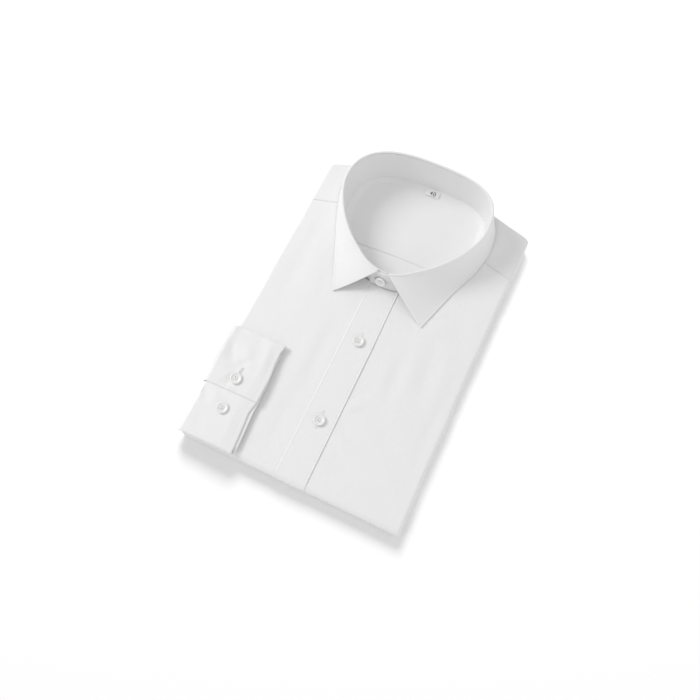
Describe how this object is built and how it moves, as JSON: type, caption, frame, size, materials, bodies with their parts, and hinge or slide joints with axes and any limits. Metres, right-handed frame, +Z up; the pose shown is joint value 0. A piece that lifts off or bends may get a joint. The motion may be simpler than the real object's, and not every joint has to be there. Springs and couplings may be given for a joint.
{
  "type": "folded dress shirt",
  "caption": "Long-sleeved dress shirt folded for the shelf, with its collar standing buttoned and one cuff brought round to the chest.",
  "frame": {"origin": "centre of the bounding box's footprint, on the surface that the shirt lies on", "axes": "+Y from the bottom fold to the collar, +X towards the wearer's left, +Z up out of the chest"},
  "size_m": [0.2454, 0.3764, 0.06],
  "materials": {
    "shirt_cotton": "white cotton poplin, matt",
    "collar_cotton": "white cotton poplin over interlining, smooth",
    "label_tape": "white satin tape",
    "button_resin": "pearly white resin"
  },
  "bodies": {
    "root": {"folded_layers": "shirt_cotton", "front_right": "shirt_cotton", "front_left": "shirt_cotton", "placket": "shirt_cotton", "yoke": "shirt_cotton", "yoke_inner": "shirt_cotton", "back": "shirt_cotton", "collar_stand": "collar_cotton", "collar_leaf": "collar_cotton", "sleeve_right": "shirt_cotton", "cuff_right": "collar_cotton", "neck_label": "label_tape", "button_collar": "button_resin", "button_2": "button_resin", "button_3": "button_resin", "button_cuff_1": "button_resin", "button_cuff_2": "button_resin"}
  },
  "joints": []
}
